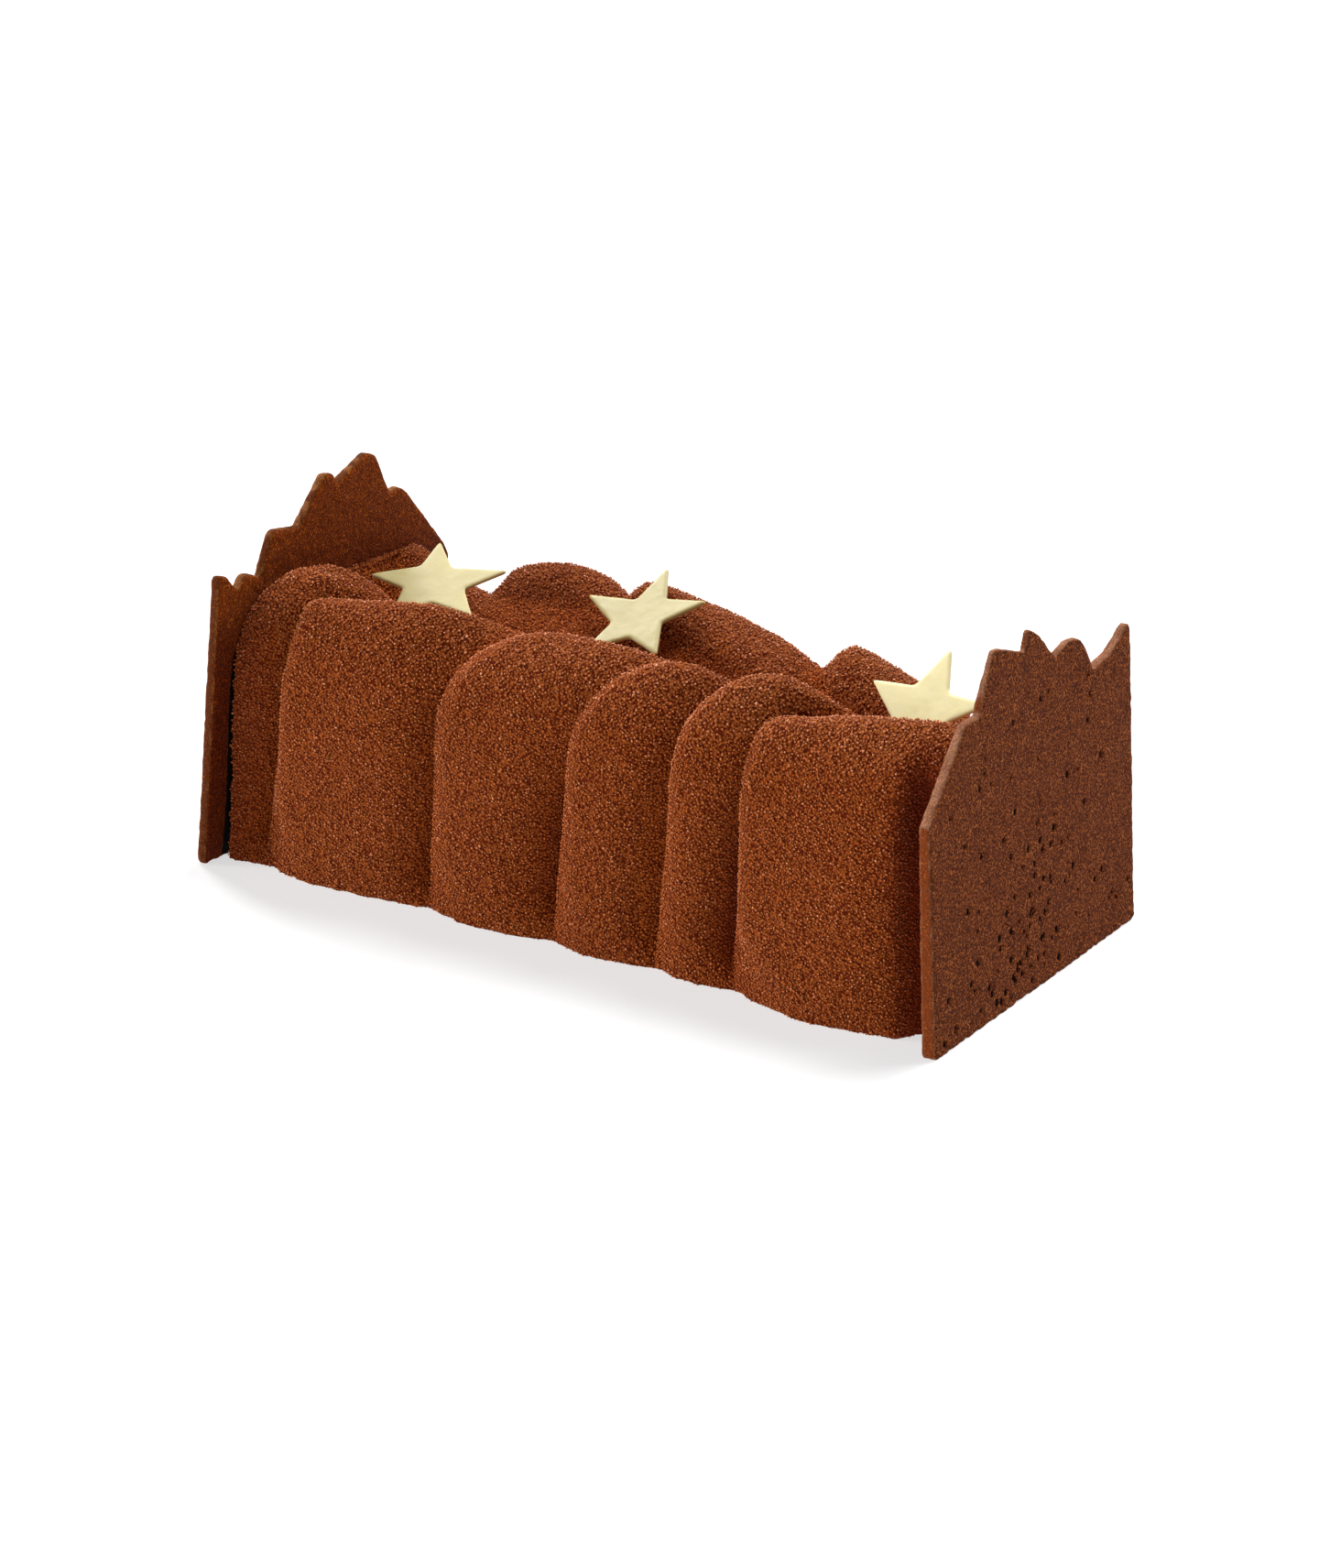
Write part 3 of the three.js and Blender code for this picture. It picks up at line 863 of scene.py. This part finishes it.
        # Painted highlight on the raised rims, stronger towards the right end.
        rim = ramp(s, self.highlight_foot) * ramp(h, self.rim_relief)
        return np.maximum(low, plate_shade), rim * np.interp(x, *zip(*self.highlight_share))

    def half(self, side: Side) -> dict[str, Array]:
        """Makes one long side of the skin.

        Args:
            side: The side.

        Returns:
            By name: the points, by station and place up the side, and each point's relief and
            shares of the painted shade in creases and beside the plates and of the painted rim
            highlight.
        """
        s = np.linspace(0, self.crown, self.ring)
        u = np.linspace(0, 1, self.stations)
        share, up = np.meshgrid(u, s, indexing="ij")
        base_y, base_z = self.section(up)
        out_y, out_z = self.outward(up)
        start = self.left_end + self.left_gap * np.clip(1 - base_z / self.gap_height, 0, 1)
        start = start + self.left_lean * base_z
        end = self.right_end - self.right_lean * base_z
        x = start + (end - start) * share
        h = self.relief(side, x, up, base_z)
        full = h - self.dents(side, x, up)
        y = -side.value * (base_y + out_y * full)
        raised = np.maximum(base_z + out_z * full, 0)
        depth = knots(self.groove, x) * np.exp(-((y / self.groove_width) ** 2))
        z = raised - depth * ramp(raised, self.groove_zone)
        front = smooth(0.5 - y / self.rise_blend)
        rise = knots(self.back_rise, x) * (1 - front) + knots(self.front_rise, x) * front
        points = np.stack([x - self.length / 2, y, z * (1 + rise)], -1)
        crease, rim = self.painted_shade_and_highlight(x, up, h, end)
        return {"points": points, "relief": h, "crease": crease, "rim": rim}

    def roughened(self, points: Array, normals: Array, ends: Array) -> Array:
        """Gives the skin lumps, grit, a ragged foot and a torn left end.

        Args:
            points: The smooth skin's points.
            normals: Their normals.
            ends: The station of each point.

        Returns:
            The moved points.
        """
        lumps = rough(points, (0.32, 9.0, 1), (0.11, 3.6, 2), (0.14, 1.4, 3))
        ragged = rough(points, (0.55, 2.2, 4)) * fade(points[:, 2], self.foot_ragged)
        free = smooth(np.minimum(ends, self.stations - 1 - ends) / self.calm_stations)
        points = points + normals * ((lumps + ragged) * free)[:, None]
        torn = np.clip(self.torn + rough(points, (0.45, 2.0, 5)), 0, self.torn_most)
        points[:, 0] += torn * np.clip(1 - ends / self.torn_stations, 0, 1)
        points[:, 2] = np.maximum(points[:, 2], 0)
        return points

    def build_skin(self) -> Object:
        """Makes the fine skin of the log.

        Its stations are rings from the front foot over the crown to the back foot. Rows of faces
        across the first and the last ring close the ends, all but one tiny face at each crown.

        Returns:
            The log, without its velvet.
        """
        front, back = self.half(Side.FRONT), self.half(Side.BACK)
        whole = {
            part: np.concatenate([front[part], back[part][:, -2::-1]], axis=1) for part in front
        }
        ring = whole.pop("points")
        n, m = ring.shape[:2]
        normals = np.cross(np.gradient(ring, axis=1), np.gradient(ring, axis=0)).reshape(-1, 3)
        normals /= np.linalg.norm(normals, axis=1)[:, None] + 1e-9
        points = ring.reshape(-1, 3)
        middle = np.array([0, 0, self.height / 2])
        if (normals * (points - middle)).sum(1).mean() < 0:
            normals = -normals
        ends = np.repeat(np.arange(n), m)
        points = self.roughened(points, normals, ends)
        i, j = np.indices((n - 1, m)).reshape(2, -1)
        k = (j + 1) % m
        wall = np.stack([i * m + j, i * m + k, (i + 1) * m + k, (i + 1) * m + j], 1)
        a = np.arange((m - 1) // 2)
        first = np.stack([a, m - 1 - a, m - 2 - a, a + 1], 1)
        last = (n - 1) * m + first[:, ::-1]
        piece = mesh_object("log_velvet_skin", points, np.concatenate([wall, first, last]))
        self.face_outwards(piece)
        # The crease and rim values carry the painted shade and highlight to the finishes.
        for name, values in whole.items():
            write_attribute(piece.data, name, values.ravel())
        return piece

    @staticmethod
    def face_outwards(piece: Object) -> None:
        """Turns every face outwards.

        Args:
            piece: The closed piece.
        """
        work = bmesh.new()
        work.from_mesh(piece.data)
        bmesh.ops.recalc_face_normals(work, faces=work.faces)
        if work.calc_volume(signed=True) < 0:
            bmesh.ops.reverse_faces(work, faces=work.faces)
        work.to_mesh(piece.data)
        work.free()

    def end_outline(self, station: int) -> Array:
        """Returns one end of the log as rows of Y and Z, from its front foot over the crown."""
        front, back = (self.half(side)["points"][station] for side in (Side.FRONT, Side.BACK))
        return np.concatenate([front, back[-2::-1]])[:, 1:]

    def build(self) -> None:
        """Makes and dresses the log and the granules on it."""
        skin = self.build_skin()
        skin.data.materials.append(VelvetFinish("chocolate_velvet").material())
        for granules in (
            Granules("velvet_granules_fine", 0.0, 0.24, 0.25),
            Granules("velvet_granules_small", 0.24, 0.48, 0.29),
            Granules("velvet_granules_medium", 0.48, 0.72, 0.34),
            Granules("velvet_granules_coarse", 0.76, 1.0, 0.43),
        ):
            granules.scatter(skin)
        hand_over(skin, Slot.VELVET, "cake_log")


@dataclass
class Granules:
    """One size of granule strewn over the velvet.

    All sizes share one even scattering of places, of which each takes its own share.
    """

    name: str
    share_from: float
    share_to: float
    radius: float
    raised: float = 0.85
    spacing: float = 0.72
    densest: float = 3.2e6
    smallest: Triple = (0.6, 0.6, 0.6)
    largest: Triple = (1.35, 1.35, 1.3)
    most_turned: Triple = (0.6, 0.6, 2 * math.pi)
    seed: int = 7

    def strewn(self, tree: NodeTree, given: dict[str, Socket]) -> tuple[Socket, Socket]:
        """Adds the nodes that find this size's places on the skin.

        Args:
            tree: The node group.
            given: What the group takes, by name.

        Returns:
            The places, raised off the skin, and their rotations.
        """
        inputs = {"Mesh": given["Skin"], "Distance Min": given["Spacing"]}
        inputs |= {"Density Max": self.densest, "Seed": self.seed}
        places = add_node(
            tree, "GeometryNodeDistributePointsOnFaces", inputs, distribute_method="POISSON"
        ).outputs
        draw = add_node(tree, "FunctionNodeRandomValue", {"Seed": self.seed + 1}).outputs[1]
        below, above = (
            add_node(tree, "FunctionNodeCompare", {0: draw, 1: given[limit]}, operation=kind)
            for limit, kind in (("Share From", "LESS_THAN"), ("Share To", "GREATER_EQUAL"))
        )
        inputs = {0: below.outputs[0], 1: above.outputs[0]}
        others = add_node(tree, "FunctionNodeBooleanMath", inputs, operation="OR").outputs[0]
        inputs = {"Geometry": places["Points"], "Selection": others}
        kept = add_node(tree, "GeometryNodeDeleteGeometry", inputs, domain="POINT").outputs[0]
        inputs = {0: places["Normal"], "Scale": given["Raised"]}
        offset = add_node(tree, "ShaderNodeVectorMath", inputs, operation="SCALE").outputs[0]
        inputs = {"Geometry": kept, "Offset": offset}
        raised = add_node(tree, "GeometryNodeSetPosition", inputs).outputs[0]
        return raised, places["Rotation"]

    @staticmethod
    def drawn(tree: NodeTree, low: Triple, high: Triple, seed: int) -> Socket:
        """Adds a node that draws a vector for each granule.

        Args:
            tree: The node group.
            low: The least of each part.
            high: The most of each part.
            seed: Which numbers are drawn.

        Returns:
            The drawn vector.
        """
        inputs = {0: low, 1: high, "Seed": seed}
        node = add_node(tree, "FunctionNodeRandomValue", inputs, data_type="FLOAT_VECTOR")
        return node.outputs[0]

    def tree(self) -> NodeTree:
        """Builds the scattering as a node group.

        Returns:
            The group, which takes the skin, the spacing, the share of the places that is filled,
            and the granules' radius, height and material.
        """
        tree = bpy.data.node_groups.new(self.name, "GeometryNodeTree")
        numbers = ("Spacing", "Share From", "Share To", "Radius", "Raised")
        kinds = {"Skin": "Geometry", **dict.fromkeys(numbers, "Float"), "Material": "Material"}
        for label, kind in kinds.items():
            tree.interface.new_socket(label, in_out="INPUT", socket_type=f"NodeSocket{kind}")
        tree.interface.new_socket("Granules", in_out="OUTPUT", socket_type="NodeSocketGeometry")
        group = add_node(tree, "NodeGroupInput")
        given = {label: group.outputs[label] for label in kinds}
        places, rotation = self.strewn(tree, given)
        inputs = {"Segments": 4, "Rings": 2, "Radius": given["Radius"]}
        blob = add_node(tree, "GeometryNodeMeshUVSphere", inputs).outputs[0]
        size = self.drawn(tree, self.smallest, self.largest, self.seed + 2)
        turn = self.drawn(tree, (0.0, 0.0, 0.0), self.most_turned, self.seed + 3)
        inputs = {0: rotation, 1: turn}
        spin = add_node(tree, "FunctionNodeRotateRotation", inputs, rotation_space="LOCAL")
        inputs = {"Points": places, "Instance": blob, "Rotation": spin.outputs[0], "Scale": size}
        put = add_node(tree, "GeometryNodeInstanceOnPoints", inputs).outputs[0]
        real = add_node(tree, "GeometryNodeRealizeInstances", {0: put}).outputs[0]
        shaded = add_node(tree, "GeometryNodeSetShadeSmooth", {0: real}).outputs[0]
        inputs = {"Geometry": shaded, "Material": given["Material"]}
        painted = add_node(tree, "GeometryNodeSetMaterial", inputs).outputs[0]
        add_node(tree, "NodeGroupOutput", {0: painted})
        return tree

    def scatter(self, skin: Object) -> None:
        """Strews the granules on the skin and hands them over.

        Args:
            skin: The log's skin.
        """
        piece = bpy.data.objects.new(self.name, skin.data.copy())
        bpy.context.scene.collection.objects.link(piece)
        modifier = piece.modifiers.new("scatter", "NODES")
        modifier.node_group = self.tree()
        values = {
            "Spacing": self.spacing * MM,
            "Share From": self.share_from,
            "Share To": self.share_to,
            "Radius": self.radius * MM,
            "Raised": self.raised * self.radius * MM,
            "Material": GranuleFinish(self.name.replace("velvet_", "")).material(),
        }
        for item in modifier.node_group.interface.items_tree:
            if item.name in values and item.in_out == "INPUT":
                modifier[item.identifier] = values[item.name]
        baked(piece)
        points = read_points(piece.data)
        points[:, 2] = np.maximum(points[:, 2], 0)
        write_points(piece.data, points)
        hand_over(piece, Slot.VELVET)


# ---------------------------------------------------------------- the plates


@dataclass
class EndPlate:
    """A thin cocoa plate with a torn top that closes one end of the log.

    outward is the sign of X on its outer face. Its faces are uneven by crumb, its edges stand out
    by swollen. Below the joint's top its inner face has painted shade in the joint behind the log,
    and below the low shade's height, if that is more than 0, it has painted shade low down. facing
    and the turns say how squarely a point faces a way to count as on a face or an edge.
    """

    node: str
    piece: str
    finish: CocoaFinish
    outward: float
    voxel: float = 0.42
    crumb: float = 0.11
    swollen: float = 0.25
    foot: Zone = (0.0, 6.0)
    seed: int = 20
    pits: int = 110
    clustered: float = 0.45
    along_foot: float = 0.3
    pit_tall: float = 1.35
    pit_rim: Zone = (0.35, 0.9)
    # Where the painted shade in the joint behind the log stops at the top, and how it grows in from
    # the log's outline.
    joint_top: Zone = (58.0, 8.0)
    joint_rim: Zone = (-0.4, 0.8)
    facing: float = 0.6
    face_turn: Zone = (0.5, 0.25)
    edge_turn: Zone = (0.75, 0.2)
    front_turn: Zone = (0.85, 0.1)
    # How high the painted shade on the inner face reaches, and how softly it ends.
    damp_height: float = 0.0
    damp_fade: float = 25.0

    def pit_places(self, rng: np.random.Generator) -> Array:
        """Draws the pits, most of them in a cluster and along the foot of the outer face.

        Args:
            rng: The plate's own draws.

        Returns:
            Rows of Y, Z, radius and depth.
        """
        near, low = int(self.pits * self.clustered), int(self.pits * self.along_foot)
        rest = self.pits - near - low
        y = [rng.normal(2, 13, near), rng.uniform(-52, 52, low), rng.uniform(-50, 50, rest)]
        z = [rng.normal(30, 12, near), rng.uniform(1, 14, low), rng.uniform(5, 80, rest)]
        radius = rng.uniform(0.45, 0.95, self.pits)
        depth = rng.uniform(0.5, 1.1, self.pits)
        return np.stack([np.concatenate(y), np.concatenate(z), radius, depth], 1)

    def joint(self, points: Array, normals: Array, outline: Array) -> Array:
        """Returns each inner-face point's share of the painted shade in the joint behind the log's
        end.

        Args:
            points: The plate's points.
            normals: Their normals.
            outline: The log's end, as rows of Y and Z from its front foot over the crown.

        Returns:
            Shares from 0 to 1.
        """
        y, z = points[:, 1], points[:, 2]
        top = int(np.argmax(outline[:, 1]))
        front, back = (
            np.interp(z, np.maximum.accumulate(side[:, 1]), side[:, 0])
            for side in (outline[: top + 1], outline[:top:-1])
        )
        depth = np.minimum(y - front, back - y)
        inner = normals[:, 0] * self.outward < -self.facing
        return np.where(inner, fade(z, self.joint_top) * ramp(depth, self.joint_rim), 0)

    def marks(self, points: Array, normals: Array) -> dict[str, Array]:
        """Works out the plate's regions for its finish.

        Args:
            points: The plate's points.
            normals: Their normals.

        Returns:
            By name, each point's share of the inner face, of the painted shade low on it, of the
            broken edge and of the front edge.
        """
        inner = ramp(-normals[:, 0] * self.outward, self.face_turn)
        # Painted shade low on the inner face.
        damp = inner * fade(points[:, 2], (self.damp_height, self.damp_fade))
        return {
            "inner": inner,
            "damp": damp * (self.damp_height > 0),
            "edge": fade(np.abs(normals[:, 0]), self.face_turn),
            "front": ramp(-normals[:, 1], self.front_turn),
        }

    def build(self, outline: Array) -> None:
        """Makes the plate with its crumb, pits and ragged edges, and hands it over.

        Args:
            outline: The log's end that stands against the plate, as rows of Y and Z.
        """
        piece = remeshed_copy(self.node, self.piece, self.voxel)
        points, normals = read_points(piece.data), read_normals(piece.data)
        rng = np.random.default_rng(self.seed)
        edge = fade(np.abs(normals[:, 0]), self.edge_turn)
        seed = self.seed
        move = self.crumb * rough(points, (0.9, 1.3, seed), (0.7, 2.9, seed + 1))
        move += edge * (rough(points, (0.1, 1.6, seed + 2)) + self.swollen)
        move += fade(points[:, 2], self.foot) * rough(points, (0.3, 1.5, seed + 3))
        # Where near-black shade is painted: in the pits, which are also dented, and in the joint
        # behind the log.
        pit = np.zeros(len(points))
        face = normals[:, 0] * self.outward > self.facing
        for y, z, radius, depth in self.pit_places(rng):
            tall = radius * self.pit_tall
            away = np.hypot((points[:, 1] - y) / radius, (points[:, 2] - z) / tall)
            here = np.where(face, fade(away, self.pit_rim), 0)
            move -= depth * here
            pit = np.maximum(pit, here)
        pit = np.maximum(pit, self.joint(points, normals, outline))
        marks = {"pit": pit, **self.marks(points, normals)}
        points = points + normals * move[:, None]
        points[:, 2] = np.maximum(points[:, 2], 0)
        write_points(piece.data, points)
        for name, values in marks.items():
            write_attribute(piece.data, name, values)
        piece.data.materials.append(self.finish.material())
        hand_over(piece, Slot.COCOA, self.node)


# ---------------------------------------------------------------- the stars


@dataclass
class FondantStar:
    """A hand-cut fondant star lying in the groove of the log."""

    node: str
    finish: FondantFinish
    seed: int
    voxel: float = 0.36
    thinned: float = 0.45

    def rolled(self, points: Array) -> Array:
        """Brings the star's underside closer to its upper face.

        Args:
            points: The star's points.

        Returns:
            The moved points.
        """
        middle = points.mean(axis=0)
        upward = np.linalg.eigh(np.cov((points - middle).T))[1][:, 0]
        upward = upward * np.sign(upward[2])
        height = (points - middle) @ upward
        return points + np.outer(self.thinned * (height.max() - height), upward)

    def build(self) -> None:
        """Makes the star with its soft, slightly uneven faces, and hands it over."""
        piece = remeshed_copy(self.node, self.node.replace("star", "fondant_star"), self.voxel)
        points, normals = self.rolled(read_points(piece.data)), read_normals(piece.data)
        uneven = rough(points, (0.07, 5.0, self.seed), (0.035, 1.8, self.seed + 1))
        write_points(piece.data, points + normals * uneven[:, None])
        piece.data.materials.append(self.finish.material())
        hand_over(piece, Slot.FONDANT, self.node)


# ---------------------------------------------------------------- the studio


@dataclass(frozen=True)
class Lamp:
    """An even, distant light.

    toward is the direction in which it lies, seen from the cake, spread how wide it looks from
    there in degrees, which softens its shadows, and power its watts for each square metre.
    """

    name: str
    toward: Triple
    spread: float
    power: float

    def hang(self) -> None:
        """Adds the light to the scene."""
        data = bpy.data.lights.new(self.name, "SUN")
        data.angle, data.energy = math.radians(self.spread), self.power
        lamp = bpy.data.objects.new(self.name, data)
        bpy.context.scene.collection.objects.link(lamp)
        lamp.location = Vector(self.toward)
        lamp.rotation_euler = lamp.location.to_track_quat("Z", "Y").to_euler()


@dataclass
class Studio:
    """The camera, the pale floor and the soft light round the cake."""

    eye: Triple = (579.18, -925.52, 456.23)
    yaw: float = 32.066
    pitch: float = 21.279
    roll: float = 0.782
    lens: float = 99.56
    floor_size: float = 6000.0
    floor_drop: float = 0.05
    floor_glow: float = 0.62
    room: float = 0.12
    lamps: tuple[Lamp, ...] = (
        Lamp("key", (-0.86, -0.46, 0.20), 24.0, 3.1),
        Lamp("top", (0.12, 0.42, 0.90), 24.0, 2.9),
        Lamp("back", (-0.66, 0.40, 0.64), 20.0, 2.6),
        Lamp("rim", (0.15, 0.85, 0.50), 16.0, 1.5),
        Lamp("fill", (0.20, -0.92, 0.20), 50.0, 0.8),
    )

    def set_camera(self) -> None:
        """Makes the camera and gives it to the scene."""
        a, e, r = (math.radians(v) for v in (self.yaw, self.pitch, self.roll))
        back = Vector((math.sin(a) * math.cos(e), -math.cos(a) * math.cos(e), math.sin(e)))
        right = (-back).cross(Vector((0, 0, 1))).normalized()
        up = right.cross(-back)
        side = right * math.cos(r) + up * math.sin(r)
        top = -right * math.sin(r) + up * math.cos(r)
        data = bpy.data.cameras.new("camera")
        data.lens = self.lens
        camera = bpy.data.objects.new("camera", data)
        bpy.context.scene.collection.objects.link(camera)
        turned = Matrix((side, top, back)).transposed().to_4x4()
        camera.matrix_world = Matrix.Translation(Vector(self.eye) * MM) @ turned
        data.clip_start, data.clip_end = 0.05, 30
        bpy.context.scene.camera = camera

    def add_floor(self) -> None:
        """Lays the floor under the cake: a pale sheet, softly lit from below."""
        size, z = self.floor_size, -self.floor_drop
        corners = np.array([[-size, -size, z], [size, -size, z], [size, size, z], [-size, size, z]])
        floor = mesh_object("floor", corners, np.array([[0, 1, 2, 3]]))
        n = Nodes("pale_floor")
        grey = n.mix(n.noise(900.0, 2.0), (0.36, 0.36, 0.36), (0.39, 0.39, 0.39))
        material = n.surfaced(
            grey,
            None,
            Roughness=0.9,
            Specular_IOR_Level=0.1,
            Emission_Color=(1.0, 1.0, 1.0, 1.0),
            Emission_Strength=self.floor_glow,
        )
        floor.data.materials.append(material)

    def set_light(self) -> None:
        """Sets the even room light, with a white wall far behind, and hangs the lamps."""
        world = bpy.data.worlds.new("room")
        world.use_nodes = True
        tree = world.node_tree
        room = tree.nodes["Background"]
        white = (1, 1, 1, 1)
        room.inputs["Color"].default_value = white
        room.inputs["Strength"].default_value = self.room
        wall = add_node(tree, "ShaderNodeBackground", {"Color": white, "Strength": 1.0})
        seen = add_node(tree, "ShaderNodeLightPath").outputs["Is Camera Ray"]
        inputs = {0: seen, 1: room.outputs[0], 2: wall.outputs[0]}
        either = add_node(tree, "ShaderNodeMixShader", inputs).outputs[0]
        tree.links.new(either, tree.nodes["World Output"].inputs["Surface"])
        bpy.context.scene.world = world
        for lamp in self.lamps:
            lamp.hang()
        bpy.context.scene.view_settings.view_transform = "Standard"

    def build(self) -> None:
        """Sets up everything round the cake."""
        self.set_camera()
        self.add_floor()
        self.set_light()


def main() -> None:
    """Builds the cake from the log outwards, and the studio round it."""
    logging.basicConfig(level=logging.INFO, format="%(name)s %(message)s")
    Studio().build()
    log = CakeLog()
    log.build()
    redder = CocoaFinish(
        "cocoa_left",
        inner=(1.58, 1.4, 0.2),
        cut=(0.42, 0.16, 0.05),
        worn=(0.17, 0.04, 0.007),
        front=(0.16, 0.034, 0.0055),
        patchy=0.15,
        speckle=0.6,
    )
    left = EndPlate(
        "end_plate_left", "cocoa_plate_left", redder, outward=-1, seed=40, pits=70, damp_height=58
    )
    left.build(log.end_outline(0))
    plain = CocoaFinish("cocoa_right")
    right = EndPlate("end_plate_right", "cocoa_plate_right", plain, outward=1)
    right.build(log.end_outline(-1))
    # One fondant, with each star's colours raised or lowered to even out the light it gets: the
    # right star is brighter as painted light, the middle star darker as painted shade.
    for side, seed, body, shade in (
        ("left", 60, (0.55, 0.48, 0.228), (0.52, 0.445, 0.2)),
        ("middle", 65, (0.42, 0.363, 0.157), (0.40, 0.34, 0.139)),
        ("right", 70, (0.72, 0.67, 0.38), (0.69, 0.63, 0.34)),
    ):
        FondantStar(f"star_{side}", FondantFinish(f"fondant_{side}", body, shade), seed).build()


if __name__ == "__main__":
    main()
